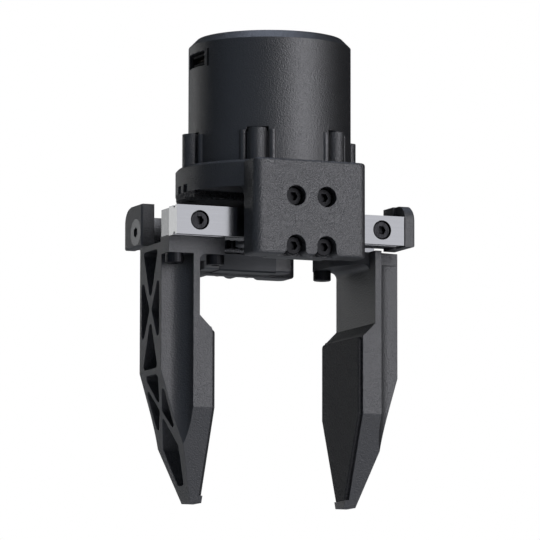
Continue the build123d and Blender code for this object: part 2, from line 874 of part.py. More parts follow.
def front_bracket():
    """Stepped end plate: bolted to the rack's end, and clear of the rail's end."""
    outer = rack_right + bracket_thick
    section = box(rack_right, outer, -bracket_far, -bracket_near, bracket_low, bracket_high)
    top_corner = section.edges().filter_by(Axis.X).sort_by(lambda e: e.center().Z - e.center().Y)[-1]
    section = fillet(top_corner, bracket_corner)
    section -= box(rack_right - 1, rail_right, -bracket_far - 1, -rack_back, bracket_low - 1,
                   bracket_high + 1)
    rim = section.faces().sort_by(Axis.X)[-1].edges()
    section = chamfer(rim, bracket_edge)
    hole = Pos(outer, -bracket_screw_y, bracket_screw_z) * Rot(0, 90, 0) * countersink(m4_flat, bracket_thick + 1)
    return section - hole


def front_bracket_screw():
    outer = rack_right + bracket_thick
    screw = countersunk_screw(m4_flat, bracket_screw_long)
    return Pos(outer, -bracket_screw_y, bracket_screw_z) * Rot(0, 90, 0) * screw


# Fingers
def prism_y(points, y0, y1):
    """An outline in X and Z carried along Y."""
    face = Plane.XZ.offset(-y0) * Polygon(*points, align=None)
    return extrude(face, amount=y1 - y0, dir=(0, 1, 0))


def prism_x(points, x0, x1, corner=0.0):
    """An outline in Y and Z carried along X, with its corners rounded."""
    outline = Polygon(*points, align=None)
    if corner:
        outline = fillet(outline.vertices(), corner)
    return extrude(Plane.YZ.offset(x0) * outline, amount=x1 - x0, dir=(1, 0, 0))


def top_plate():
    """Flat plate under the rack, with its inner end swept back towards the far side."""
    with BuildSketch() as plan:
        with BuildLine():
            Line((-finger_outer, -plate_near), (-plate_inner, -plate_near))
            Line((-plate_inner, -plate_near), (-plate_inner, -plate_turn))
            Spline((-plate_inner, -plate_turn), (-plate_sweep_x, plate_sweep_y), (-wall_face, plate_far),
                   tangents=[(0, 1), (-1, plate_end_slope)])
            Line((-wall_face, plate_far), (-wall_back, plate_far))
            Line((-wall_back, plate_far), (-finger_outer, flank))
            Line((-finger_outer, flank), (-finger_outer, -plate_near))
        make_face()
    plate = extrude(Pos(0, 0, plate_bottom) * plan.sketch, amount=plate_top - plate_bottom, dir=(0, 0, 1))
    plate -= box(-finger_outer - 1, 0, -own_zone, plate_far + 1, relief_top, plate_top + 1)
    r = plate_throat_r
    throat = box(-wall_face, -wall_face + r, -plate_near, plate_far, plate_bottom - r, plate_bottom)
    throat -= rod_y(-wall_face + r, plate_bottom - r, -plate_near - 1, plate_far + 1, r)
    return plate + throat


def finger_section():
    """Plan section of the upright: ribbed body, hollow flanks and the wall behind the pad."""
    centre_x = -(wall_back + channel_r)
    centre_y = flank + channel_r
    reach = channel_r * sqrt(0.5)
    with BuildSketch() as section:
        with BuildLine():
            for side in (-1, 1):
                Line((-finger_outer, side * flank), (centre_x, side * flank))
                ThreePointArc((centre_x, side * flank), (centre_x + reach, side * (centre_y - reach)),
                              (-wall_back, side * centre_y))
                Line((-wall_back, side * centre_y), (-wall_back, side * wall_half))
                Line((-wall_back, side * wall_half), (-wall_face, side * wall_half))
            Line((-wall_face, -wall_half), (-wall_face, wall_half))
            Line((-finger_outer, -flank), (-finger_outer, flank))
        make_face()
    return section.sketch


def pad_block():
    """Thick lower half of the finger, with a hollow fillet above it."""
    r = pad_throat_r
    centre_z = pad_block_top + r
    block = prism_y([(-wall_face - 0.5, tip_z), (-pad_block_face, tip_z), (-pad_block_face, pad_top),
                     (-pad_block_face - pad_edge, pad_block_top), (-wall_face + r, pad_block_top),
                     (-wall_face, centre_z), (-wall_face - 0.5, centre_z)], -wall_half, wall_half)
    fill = box(-wall_face, -wall_face + r, -wall_half, wall_half, pad_block_top, centre_z)
    fill -= rod_y(-wall_face + r, centre_z, -wall_half - 1, wall_half + 1, r)
    lip = box(-pad_block_face - 0.5, -pad_face, -wall_half, wall_half, tip_z, pad_low)
    return block + fill + lip


def taper_cut(half):
    """What the front and back tapers of the fingertip remove, for a given half width."""
    deep = taper_z - tip_z + 1
    cut = None
    for side in (-1, 1):
        wedge = prism_x([(side * half, taper_z), (side * (half - taper_slope * deep), taper_z - deep),
                         (side * (half + 5), taper_z - deep), (side * (half + 5), taper_z)],
                        -finger_outer - 1, 0)
        cut = wedge if cut is None else cut + wedge
    return cut


def slope_cut():
    """What the sloping outer face removes below its bend."""
    deep = bend_z - tip_z + 1
    return prism_y([(-finger_outer, bend_z), (-finger_outer + outer_slope * deep, bend_z - deep),
                    (-finger_outer - 5, bend_z - deep), (-finger_outer - 5, bend_z)], -wall_half - 1, wall_half + 1)


def pockets(outlines, x_end):
    """Rounded cut-outs from the outer face inwards, one for each outline in Y and Z."""
    cut = None
    for outline in outlines:
        pocket = prism_x(outline, -finger_outer - 1, x_end, pocket_corner)
        cut = pocket if cut is None else cut + pocket
    return cut


def upper_pockets():
    """Four truss pockets above the bend, from the outer face to the wall."""
    top = relief_top - pocket_head
    low = bend_z + lower_end
    middle = (top + low) / 2
    outlines = [[(-upper_half, top), (upper_half, top), (0, top - upper_long)],
                [(-upper_half, low), (upper_half, low), (0, low + upper_long)]]
    for side in (-1, 1):
        outlines.append([(side * side_edge, middle + side_half), (side * side_edge, middle - side_half),
                         (side * node_half, middle)])
    return pockets(outlines, -wall_back)


def lower_pockets():
    """Four truss pockets below the bend, with floors that follow the sloping face."""
    outlines = [[(-slope_half, bend_z - slope_head), (slope_half, bend_z - slope_head),
                 (0, bend_z - slope_head - slope_long)]]
    side_top = bend_z - slope_side_top
    for side in (-1, 1):
        outlines.append([(side * slope_edge, side_top), (side * slope_edge, side_top - slope_side_long),
                         (side * node_half, bend_z - slope_node)])
    outlines.append([(0, bend_z - deep_head), (deep_half, bend_z - deep_shoulder),
                     (deep_end_half, bend_z - deep_end), (-deep_end_half, bend_z - deep_end),
                     (-deep_half, bend_z - deep_shoulder)])
    floor = -finger_outer + lower_pocket_deep
    floor_end = -pad_block_face - floor_behind
    floor_z = bend_z - (floor_end - floor) / outer_slope
    slab = prism_y([(-finger_outer - 5, bend_z + 1), (floor, bend_z + 1), (floor, bend_z),
                    (floor_end, floor_z), (floor_end, tip_z), (-finger_outer - 5, tip_z)], -wall_half, wall_half)
    return pockets(outlines, 0) & slab


def left_finger():
    finger = extrude(Pos(0, 0, tip_z) * finger_section(), amount=relief_top - tip_z, dir=(0, 0, 1))
    finger += pad_block()
    finger -= slope_cut()
    finger -= taper_cut(wall_half)
    finger += top_plate()
    finger -= upper_pockets()
    finger -= lower_pockets()
    for x in (-finger_screw_out, -finger_screw_in):
        finger -= rod(x, -finger_screw_y, plate_bottom - 1, plate_top + 1, m3["shank"] + part_gap)
    return finger


def left_finger_screws():
    long = plate_top - plate_bottom + finger_thread - thread_end
    screw = Pos(0, 0, plate_bottom) * Rot(180, 0, 0) * socket_screw(m3, long)
    return [Pos(x, -finger_screw_y, 0) * screw for x in (-finger_screw_out, -finger_screw_in)]


def left_pad():
    """Rubber pad on the inner face of the fingertip."""
    low_half = pad_half - taper_slope * (taper_z - pad_low)
    outline = Polygon((-pad_half, pad_top), (-pad_half, taper_z), (-low_half, pad_low), (low_half, pad_low),
                      (pad_half, taper_z), (pad_half, pad_top), align=None)
    outline = fillet(outline.vertices().group_by(Axis.Y)[-1], pad_corner)
    pad = extrude(Plane.YZ.offset(-pad_block_face) * outline, amount=pad_thick, dir=(1, 0, 0))
    return chamfer(pad.faces().sort_by(Axis.X)[-1].edges(), pad_chamfer)


def all_nodes():
    """Every node's name with its pieces, in the modelling frame."""
    nodes = {
        "housing": housing(),
        "retainer_bar": retainer_bar(),
        "retainer_screws": retainer_screws(),
        "motor_can": motor_can(),
        "can_screws": can_screws(),
        "tool_flange": tool_flange(),
        "flange_screws": flange_screws(),
        "cable_socket": cable_socket(),
        "socket_contacts": socket_contacts(),
        "control_board": control_board(),
        "board_chips": board_chips(),
        "board_standoffs": board_standoffs(),
        "board_screws": board_screws(),
        "stator_core": stator_core(),
        "stator_windings": stator_windings(),
        "lower_bearing_outer": bearing_outer(0),
        "lower_bearing_balls": bearing_balls(0),
        "lower_bearing_inner": bearing_inner(0),
        "upper_bearing_outer": bearing_outer(1),
        "upper_bearing_balls": bearing_balls(1),
        "upper_bearing_inner": bearing_inner(1),
        "motor_shaft": motor_shaft(),
        "rotor_hub": rotor_hub(),
        "rotor_magnets": rotor_magnets(),
        "encoder_magnet": encoder_magnet(),
        "pinion": pinion_gear(),
        "pinion_washer": pinion_washer(),
        "pinion_screw": pinion_screw(),
    }
    twins = {
        "carriage": front_carriage(),
        "carriage_caps": front_carriage_caps(),
        "carriage_screws": front_carriage_screws(),
        "rail": front_rail(),
        "rail_screws": front_rail_screws(),
        "rack": front_rack(),
        "bracket": front_bracket(),
        "bracket_screw": front_bracket_screw(),
    }
    for name, piece in twins.items():
        nodes["front_" + name] = piece
        nodes["rear_" + name] = turned(piece)
    finger_parts = {"finger": left_finger(), "finger_screws": left_finger_screws(), "pad": left_pad()}
    for name, piece in finger_parts.items():
        nodes["left_" + name] = piece
        nodes["right_" + name] = turned(piece)
    return nodes


def turned(piece):
    """Half-turned copy of a piece or of a list of pieces."""
    if isinstance(piece, list):
        return [half_turn(one) for one in piece]
    return half_turn(piece)


def write_nodes(nodes):
    """One STEP file per node, lowered so that the origin is on the tool flange."""
    os.makedirs("parts", exist_ok=True)
    for name, piece in nodes.items():
        pieces = piece if isinstance(piece, list) else [piece]
        solids = []
        for one in pieces:
            solids += (Pos(0, 0, -can_top) * one).solids()
        shape = solids[0] if len(solids) == 1 else Compound(solids)
        export_step(shape, "parts/" + name + ".step")


write_nodes(all_nodes())
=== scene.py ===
# %% [markdown]
# # A two-finger gripper, dressed for the studio
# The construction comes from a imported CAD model, which is loaded as a fixed frame: nothing in it
# is moved or reshaped here. This notebook gives every piece its finish, adds the few small forms
# that the CAD model leaves out, and sets up the studio. Lengths are metres. The origin is the
# middle of the tool flange on top, where a robot arm holds the gripper, and the fingers hang down
# from it.

# %% Load the frame
import json
from math import cos, pi, radians, sin

import bpy
from mathutils import Matrix, Vector


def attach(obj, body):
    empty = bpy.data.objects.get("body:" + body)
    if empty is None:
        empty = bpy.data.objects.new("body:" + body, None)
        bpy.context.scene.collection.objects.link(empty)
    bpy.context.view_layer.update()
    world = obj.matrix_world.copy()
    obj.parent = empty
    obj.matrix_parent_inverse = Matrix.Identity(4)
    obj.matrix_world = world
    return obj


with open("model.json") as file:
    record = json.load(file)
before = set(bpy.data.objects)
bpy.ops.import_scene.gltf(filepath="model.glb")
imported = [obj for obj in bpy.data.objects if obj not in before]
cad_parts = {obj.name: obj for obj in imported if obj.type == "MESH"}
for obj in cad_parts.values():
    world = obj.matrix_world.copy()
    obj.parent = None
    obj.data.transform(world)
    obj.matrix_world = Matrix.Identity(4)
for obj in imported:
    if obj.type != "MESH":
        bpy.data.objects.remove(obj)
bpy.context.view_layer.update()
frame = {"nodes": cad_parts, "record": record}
mm = 0.001

# %% [markdown]
# ## Measures that everything else hangs on
# The camera and the small forms need a few places of the real gripper: the height of the rails,
# the radius and the lower end of the motor can, and the tops of the posts that stand round it.
# They could be typed in, but reading them off the loaded pieces keeps them true.

# %% Measure the frame
def span(name, axis):
    """Lowest and highest place of a CAD piece along X, Y or Z, which are 0, 1 and 2."""
    piece = frame["nodes"][name]
    places = [(piece.matrix_world @ vertex.co)[axis] for vertex in piece.data.vertices]
    return min(places), max(places)


rail_plane = sum(span("front_rail", 2)) / 2
can_r = span("motor_can", 1)[1]
can_bottom = span("motor_can", 2)[0]
post_top = span("housing", 2)[1]
print("in mm: rails", round(rail_plane / mm, 3), "can radius", round(can_r / mm, 3),
      "can's end", round(can_bottom / mm, 3), "post tops", round(post_top / mm, 3))

# %% [markdown]
# ## The camera
# The view was solved from points of the photograph whose real places are known, such as the
# screw heads and the corners of the blocks. A long lens stands 1.58 m away, a little below the
# gripper and to its left, and looks slightly up. The long lens keeps upright edges parallel.

# %% Set up the camera
view_turn = radians(22.765)
view_rise = radians(6.888)
view_roll = radians(0.099)
view_distance = 1584.99 * mm
view_depth = 10.0
lens_pixels = 5164.66
frame_pixels = 540
sensor_width = 36.0
aim_right = 0.225 * mm
aim_height = rail_plane - 11.292 * mm

forward = Vector((sin(view_turn) * cos(view_rise), cos(view_turn) * cos(view_rise), sin(view_rise)))
right = Vector((cos(view_turn), -sin(view_turn), 0))
target = right * aim_right + Vector((0, 0, aim_height))
camera_data = bpy.data.cameras.new("camera")
camera_data.sensor_width = sensor_width
camera_data.lens = lens_pixels / frame_pixels * sensor_width
camera_data.clip_end = view_depth
camera = bpy.data.objects.new("camera", camera_data)
bpy.context.scene.collection.objects.link(camera)
camera.location = target - forward * view_distance
camera.rotation_euler = (forward.to_track_quat("-Z", "Y").to_matrix()
                         @ Matrix.Rotation(view_roll, 3, "Z")).to_euler()
bpy.context.scene.camera = camera
print("camera at", [round(v, 3) for v in camera.location], "lens", round(camera_data.lens), "mm")

# %% [markdown]
# ## Shader maths as Python expressions
# A finish can be wired up box by box, but it is easier to read as a formula. A `Wire` stands for
# one output socket, and adding, subtracting or multiplying it adds the Math node that does so.
# The reflected forms are there so that `1 - mask` works as well as `mask - 1`.

# %% A wire
class Wire:
    """One output socket, with the operators that the finishes below use."""

    def __init__(self, nodes, socket):
        self.nodes = nodes
        self.socket = socket

    def math(self, operation, first, second):
        return self.nodes.add("ShaderNodeMath", {"operation": operation}, {0: first, 1: second})

    def __add__(self, other):
        return self.math("ADD", self, other)

    def __radd__(self, other):
        return self.math("ADD", other, self)

    def __sub__(self, other):
        return self.math("SUBTRACT", self, other)

    def __rsub__(self, other):
        return self.math("SUBTRACT", other, self)

    def __mul__(self, other):
        return self.math("MULTIPLY", self, other)

    def __rmul__(self, other):
        return self.math("MULTIPLY", other, self)

    def clamped(self):
        """The same value, held between 0 and 1."""
        return self.math("MINIMUM", self.math("MAXIMUM", self, 0.0), 1.0)


# %% [markdown]
# ## Every other node by one method
# Materials and the world are both node trees, so one small class serves both. `add` takes a
# node's kind, then its settings, then what its sockets hold or are wired to, by name or number.
# The settings come first, because some of them change which sockets a node has. A Mix node has
# several sockets of one name, so its colour sockets go by number.

# %% A node tree
class Nodes:
    """The node tree of a material or of the world."""

    mix_factor = 0
    mix_first = 6
    mix_second = 7
    mix_result = 2

    def __init__(self, tree):
        self.tree = tree

    def feed(self, socket, value):
        """Puts a wire, a number, a colour or a vector on a socket."""
        if isinstance(value, Wire):
            self.tree.links.new(value.socket, socket)
        elif hasattr(socket.default_value, "__len__"):
            socket.default_value = (*value, 1) if len(socket.default_value) == 4 else value
        else:
            socket.default_value = value

    def add(self, kind, settings, inputs, output=0):
        """Adds a node, its settings first, and hands back the output that is asked for."""
        node = self.tree.nodes.new(kind)
        for key, value in settings.items():
            setattr(node, key, value)
        for key, value in inputs.items():
            self.feed(node.inputs[key], value)
        return Wire(self, node.outputs[output])

    def blend(self, mask, first, second):
        """A colour between two, by a mask from 0 to 1."""
        inputs = {self.mix_factor: mask, self.mix_first: first, self.mix_second: second}
        return self.add("ShaderNodeMix", {"data_type": "RGBA"}, inputs, self.mix_result)


# %% [markdown]
# ## A finish
# A finish is a material with one principled shader. All of its patterns read Object coordinates,
# which are real metres here, because every finished piece has its place in its mesh. So a grain
# of 2000 waves per metre is half a millimetre wide on whatever piece wears it.

# %% The finish
class Finish(Nodes):
    """A material with one principled shader, and the patterns that the finishes share."""

    bevel_samples = 4

    def __init__(self, name, sockets):
        self.material = bpy.data.materials.new(name)
        self.material.use_nodes = True
        super().__init__(self.material.node_tree)
        self.shader = self.tree.nodes["Principled BSDF"]
        self.place = self.add("ShaderNodeTexCoord", {}, {}, "Object")
        self.set(sockets)

    def set(self, sockets):
        """Sets sockets of the shader by the names that Blender gives them."""
        for name, value in sockets.items():
            self.feed(self.shader.inputs[name], value)

    def noise(self, where, waves, detail):
        """Noise of so many waves per metre, from 0 to 1."""
        inputs = {"Vector": where, "Scale": waves, "Detail": detail}
        return self.add("ShaderNodeTexNoise", {}, inputs, "Fac")

    def rounded(self, radius):
        """The normal that the surface would have if its edges were rounded."""
        return self.add("ShaderNodeBevel", {"samples": self.bevel_samples}, {"Radius": radius}, "Normal")

    def painted_edge_highlight(self, radius):
        """Mask of the edges, where the rounded normal leaves the true one: it places the painted edge
        highlight.
        """
        straight = self.add("ShaderNodeNewGeometry", {}, {}, "Normal")
        alike = self.add("ShaderNodeVectorMath", {"operation": "DOT_PRODUCT"},
                         {0: self.rounded(radius), 1: straight}, "Value")
        return (1 - alike).clamped()

    def relief(self, height, depth, edge):
        """Bumps of a real depth in metres, over edges that look rounded, into the shader's normal."""
        inputs = {"Height": height, "Distance": depth}
        if edge:
            inputs["Normal"] = self.rounded(edge)
        self.set({"Normal": self.add("ShaderNodeBump", {}, inputs, "Normal")})


# %% [markdown]
# ## Black coatings
# Nearly the whole gripper is black, and only grain and gloss tell its parts apart. The real can
# and castings wear a sand-textured coating, whose grains catch the key light one by one. A plain
# grey noise would look painted on, so the same fine noise drives the colour, the gloss and the
# relief, and a slow cloud of noise keeps large faces from looking even. Along the edges the
# colour is paler: a painted highlight.

# %% The coating
coat_index = 2.2
fine_detail = 1.0
fine_share = 0.6
cloud_waves = 60.0
cloud_detail = 2.0
# Painted highlight on edges: how strongly and how pale the coating's colour turns along an edge.
edge_highlight_share = 3.0
edge_highlight_colour = (0.09, 0.09, 0.10)


def coating(name, dark, light, roughness, waves, depth, edge=0.0, shine=1.0, speckle=0.5):
    """Matte coating, with a fine grain in its colour, gloss and relief."""
    finish = Finish(name, {"IOR": coat_index, "Specular IOR Level": shine})
    fine = finish.noise(finish.place, waves, fine_detail)
    cloud = finish.noise(finish.place, cloud_waves, cloud_detail)
    colour = finish.blend(fine * fine_share + cloud * (1 - fine_share), dark, light)
    if edge:
        # Painted highlight: the colour turns paler along the edges.
        colour = finish.blend(finish.painted_edge_highlight(edge) * edge_highlight_share, colour, edge_highlight_colour)
    finish.set({"Base Color": colour, "Roughness": fine * speckle + (roughness - speckle / 2)})
    finish.relief(fine, depth, edge)
    print(name, "grain", round(1 / waves / mm, 2), "mm wide,", round(depth / mm, 2), "mm deep")
    return finish.material


# %% Can and castings
black = (0.006, 0.006, 0.007)
can_coat = coating("can_coat", black, (0.011, 0.011, 0.012), roughness=0.49, waves=2300.0,
                   depth=0.14 * mm, edge=0.3 * mm, speckle=0.16)
cast_coat = coating("cast_coat", black, (0.016, 0.016, 0.017), roughness=0.49, waves=2600.0,
                    depth=0.24 * mm, edge=0.4 * mm, speckle=0.20)

# %% [markdown]
# ## Fingers, brackets and pads
# The fingers and end brackets look milled and then coated: their grain is shallower than that of
# the castings, and duller. The pads are rubber, which drinks the light. They get the same recipe
# with half the shine and no painted edge highlight.

# %% Finger, bracket and pad finishes
finger_coat = coating("finger_coat", black, (0.013, 0.013, 0.014), roughness=0.56, waves=2100.0,
                      depth=0.16 * mm, edge=0.3 * mm, speckle=0.20)
bracket_coat = coating("bracket_coat", black, (0.013, 0.013, 0.014), roughness=0.58, waves=2300.0,
                       depth=0.12 * mm, edge=0.2 * mm, speckle=0.16)
pad_rubber = coating("pad_rubber", black, (0.012, 0.012, 0.013), roughness=0.70, waves=1900.0,
                     depth=0.4 * mm, shine=0.5, speckle=0.4)

# %% [markdown]
# ## The retainer bar
# Under the deck lies a rough cast bar, deep in shade, of which only broken glints are seen.
# Modelled ribs would be a few pixels high and pure guesswork, so coarse noise stands in for them:
# it swings the colour from near black to a pale warm grey, painted shade and painted glints of
# those ribs, with a deep relief and a strong speckle.

# %% Retainer bar finish
# Painted shade and painted glints: the near black and the pale warm grey stand for the ribs' shade and
# glints.
bar_painted_glints = coating("bar_painted_glints", (0.002, 0.002, 0.002), (0.08, 0.07, 0.065), roughness=0.60,
                   waves=1500.0, depth=1.5 * mm, shine=0.5, speckle=0.9)

# %% [markdown]
# ## Metals
# A ground rail shows fine lines along its length. The shader's Anisotropic socket could stretch
# the highlights that way, but only colour, gloss and relief are baked when the model is exported.
# Noise drawn out along one axis gives the lines: few waves per metre along them and thousands
# across. A metal tints its reflections, so its colour sets how bright a rail or a black screw is.

# %% The metal
streak_detail = 4.0
streak_shade = 0.85
gloss_swing = 0.08
even_waves = (300.0, 300.0, 300.0)


def metal(name, colour, roughness, waves=even_waves, depth=0.002 * mm):
    """Bright metal with a brushed grain, of so many waves per metre along X, Y and Z."""
    finish = Finish(name, {"Metallic": 1.0})
    where = finish.add("ShaderNodeMapping", {}, {"Vector": finish.place, "Scale": waves}, "Vector")
    streak = finish.noise(where, 1.0, streak_detail)
    shaded = tuple(c * streak_shade for c in colour)
    finish.set({"Base Color": finish.blend(streak, shaded, colour),
                "Roughness": streak * gloss_swing + (roughness - gloss_swing / 2)})
    finish.relief(streak, depth, 0.0)
    print(name, "colour", colour, "roughness", roughness)
    return finish.material


# %% Rails, racks and carriages
rail_steel = metal("rail_steel", (0.34, 0.345, 0.35), 0.17, (40.0, 3000.0, 3000.0))
rack_steel = metal("rack_steel", (0.31, 0.315, 0.32), 0.26, (40.0, 2500.0, 2500.0))
carriage_steel = metal("carriage_steel", (0.16, 0.165, 0.17), 0.40, (60.0, 2000.0, 2000.0))
gear_steel = metal("gear_steel", (0.34, 0.34, 0.35), 0.35)
bearing_steel = metal("bearing_steel", (0.70, 0.71, 0.72), 0.18)

# %% [markdown]
# ## Screws and contacts
# The socket-head screws are blackened steel. Their streaks run up and down, like the knurling on
# the heads of the finger screws, which point upwards. The four screws in each block lie deep in
# counterbores and are a little rougher, with their streaks along Y, the way they point. Their
# colour is half that of the other screws: painted shade of the counterbores. The countersunk
# bracket screws are zinc plated and stand out pale.

# %% Screw and contact finishes
black_oxide = metal("black_oxide", (0.08, 0.08, 0.085), 0.38, (2500.0, 2500.0, 80.0), 0.2 * mm)
# Painted shade: the block screws' colour is half that of the other screws, for their deep counterbores.
oxide_painted_shade = metal("oxide_painted_shade", (0.04, 0.04, 0.042), 0.42, (1500.0, 80.0, 1500.0), 0.1 * mm)
zinc = metal("zinc", (0.28, 0.285, 0.29), 0.42)
copper = metal("copper", (0.62, 0.26, 0.11), 0.35)
# Painted shade: the contacts sit deep in the socket, so their yellow metal is darkened nearly to black.
gold_painted_shade = metal("gold_painted_shade", (0.03, 0.022, 0.012), 0.5)

# %% [markdown]
# ## Plastics, the board and the seals
# Moulded plastic is the coating recipe again, with a shallow grain. The socket is a dark hole in
# the can, so its plastic hardly shines, and its colour is darker than the other plastic's: painted
# shade of the hole. The board and its chips lie inside and are only seen when the gripper is taken
# apart. The seals are soft rubber, a shade paler than the can.

# %% Plastic, board and seal finishes
moulded = (0.012, 0.012, 0.013)
moulded_light = (0.020, 0.020, 0.021)
cap_plastic = coating("cap_plastic", moulded, moulded_light, roughness=0.45, waves=900.0,
                      depth=0.05 * mm, speckle=0.2)
# Painted shade: the socket's plastic is darker than the other plastic, for the shade of the hole.
socket_plastic = coating("socket_plastic", (0.003, 0.003, 0.003), (0.006, 0.006, 0.006),
                         roughness=0.80, waves=900.0, depth=0.05 * mm, shine=0.15, speckle=0.2)
board_green = coating("board_green", (0.010, 0.05, 0.03), (0.014, 0.07, 0.04), roughness=0.35,
                      waves=500.0, depth=0.02 * mm, speckle=0.2)
seal_rubber = coating("seal_rubber", moulded, moulded_light, roughness=0.60, waves=1500.0,
                      depth=0.05 * mm)

# %% [markdown]
# ## Dress the carried-over pieces
# Each CAD node keeps its shape and gets the finish that its slot in the record names. A few nodes
# share a slot with pieces that look different, so those are named one by one.

# %% Give each node its finish
finish_of_slot = {
    "can": can_coat, "casting": cast_coat, "finger": finger_coat, "bracket": bracket_coat,
    "flange": bracket_coat, "rail_steel": rail_steel, "rack_steel": rack_steel,
    "carriage_steel": carriage_steel, "cap_plastic": cap_plastic, "black_oxide": black_oxide,
    "zinc_screw": zinc, "pad_rubber": pad_rubber, "gear_steel": gear_steel,
    "bearing_steel": bearing_steel, "laminations": gear_steel, "copper": copper, "magnet": zinc,
    "board": board_green, "chip": cap_plastic, "socket_plastic": socket_plastic, "contact": gold_painted_shade,
}
finish_of_node = {
    "retainer_bar": bar_painted_glints, "front_carriage_screws": oxide_painted_shade, "rear_carriage_screws": oxide_painted_shade,
}
slot_of_node = {part["node"]: part["material_slot"] for part in frame["record"]["subparts"]}
for name, piece in frame["nodes"].items():
    piece.data.materials.clear()
    piece.data.materials.append(finish_of_node.get(name, finish_of_slot[slot_of_node[name]]))
print("dressed", len(frame["nodes"]), "nodes")

# %% [markdown]
# ## Settling a new piece
# Every new piece ends the same way. Its modifiers are applied, its place goes into its mesh, so
# that its object stands at the origin like a CAD node, and its flat and round faces are told
# apart by their angle. Then it is told which body it rides on and which material slot it has.

# %% Settle a piece
smooth_angle = radians(30)


def settle(piece, name, finish, body):
    """Names a finished piece, gives it its finish, and puts its place into its mesh."""
    bpy.ops.object.select_all(action="DESELECT")
    piece.select_set(True)
    bpy.context.view_layer.objects.active = piece
    for modifier in list(piece.modifiers):
        bpy.ops.object.modifier_apply(modifier=modifier.name)
    bpy.ops.object.transform_apply(location=True, rotation=True, scale=True)
    bpy.ops.object.shade_smooth_by_angle(angle=smooth_angle)
    piece.name = name
    piece.data.materials.append(finish)
    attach(piece, body)
    return piece


# %% [markdown]
# ## Seals between the posts and the can
# Six posts of the housing stand in scallops of the can, and on the real gripper no black slot
# shows beside them. A soft seal fills each gap here. It could be cut from a solid by booleans,
# but an open tube with a Solidify wall, cut flat by a bisect a little inside the can's skin, is
# simpler and keeps clean faces. The tube runs from the can's lower end to just below the post's
# top.

# %% Sizes of the seals
post_r = 2.8 * mm
seal_play = 0.05 * mm
seal_r = 3.25 * mm
seal_sides = 64
seal_low = can_bottom
seal_high = post_top - 0.8 * mm
seal_face = can_r - 0.7 * mm
corner_post_turn = radians(31.2)
corner_post_out = 24.7 * mm
side_post_out = 25.9 * mm
print("seals are", round((seal_high - seal_low) / mm, 2), "mm tall and",
      round((seal_r - post_r - seal_play) / mm, 2), "mm thick")


# %% One seal
def post_seal(number, turn, out):
    """Ring of soft rubber behind one post, cut off flat at its front."""
    away = Vector((cos(turn), sin(turn), 0))
    bpy.ops.object.select_all(action="DESELECT")
    bpy.ops.mesh.primitive_cylinder_add(vertices=seal_sides, radius=seal_r, depth=seal_high - seal_low,
                                        end_fill_type="NOTHING",
                                        location=(*(away * out).to_2d(), (seal_high + seal_low) / 2))
    ring = bpy.context.object
    wall_thick = ring.modifiers.new("wall", "SOLIDIFY")
    wall_thick.thickness = seal_r - post_r - seal_play
    wall_thick.offset = -1
    bpy.ops.object.modifier_apply(modifier="wall")
    bpy.ops.object.mode_set(mode="EDIT")
    bpy.ops.mesh.select_all(action="SELECT")
    bpy.ops.mesh.bisect(plane_co=away * seal_face, plane_no=away, clear_outer=True, use_fill=True)
    bpy.ops.object.mode_set(mode="OBJECT")
    return settle(ring, f"post_seal_{number}", seal_rubber, "body")


# %% All six seals
corner_turns = [side * pi / 2 + lean * corner_post_turn for side in (-1, 1) for lean in (-1, 1)]
post_places = [(turn, corner_post_out) for turn in corner_turns] + [(0, side_post_out), (pi, side_post_out)]
seals = [post_seal(number, *place) for number, place in enumerate(post_places, 1)]
print("seals", len(seals), "faces each", len(seals[0].data.polygons))

# %% [markdown]
# ## A strip of painted shade beside the socket
# Beside the cable socket, 18 degrees round from it towards the camera, the real can has a narrow
# slot that shows black. The CAD model has that slot, but its coated walls catch some light and pale
# it. So a thin black cube with bevelled edges closes its mouth as painted shade. It is a little
# wider than the slot, stands 0.05 mm proud of the can, and is as matt and black as the inside of
# the socket.

# %% Dark strip
strip_turn = radians(198.2)
strip_size = (0.5 * mm, 0.95 * mm, 5.5 * mm)
strip_height = rail_plane + 52.25 * mm
strip_out = can_r - 0.2 * mm
strip_edge = 0.12 * mm
strip_edge_steps = 3
strip_place = (cos(strip_turn) * strip_out, sin(strip_turn) * strip_out, strip_height)
bpy.ops.object.select_all(action="DESELECT")
# Painted shade: a matt black cube over the slot's mouth.
bpy.ops.mesh.primitive_cube_add(size=1, location=strip_place, rotation=(0, 0, strip_turn), scale=strip_size)
strip = bpy.context.object
rounding = strip.modifiers.new("rounding", "BEVEL")
rounding.width = strip_edge
rounding.segments = strip_edge_steps
settle(strip, "slot_shade_strip", socket_plastic, "body")
print("strip faces", len(strip.data.polygons))

# %% [markdown]
# ## Where things stand in the studio
# The floor, the wall and the lamps are all placed by one angle: how far round the gripper they
# stand from the line to the camera. A positive angle goes to the camera's right.

# %% Headings
def heading(turn):
    """Level direction from the gripper, turned so many degrees from the line to the camera."""
    return Matrix.Rotation(radians(turn), 3, "Z") @ Vector((-forward.x, -forward.y, 0)).normalized()


print("towards the camera", [round(v, 3) for v in heading(0)])

# %% [markdown]
# ## The floor
# A floor lies well below the gripper, because the camera looks up from below it. To the camera it
# glows nearly white, so it runs into the white world behind it, and from below it can't be seen.
# Mirror-like rays get none of that glow, but for a faint pool behind the gripper: a white floor
# would turn every black underside grey.

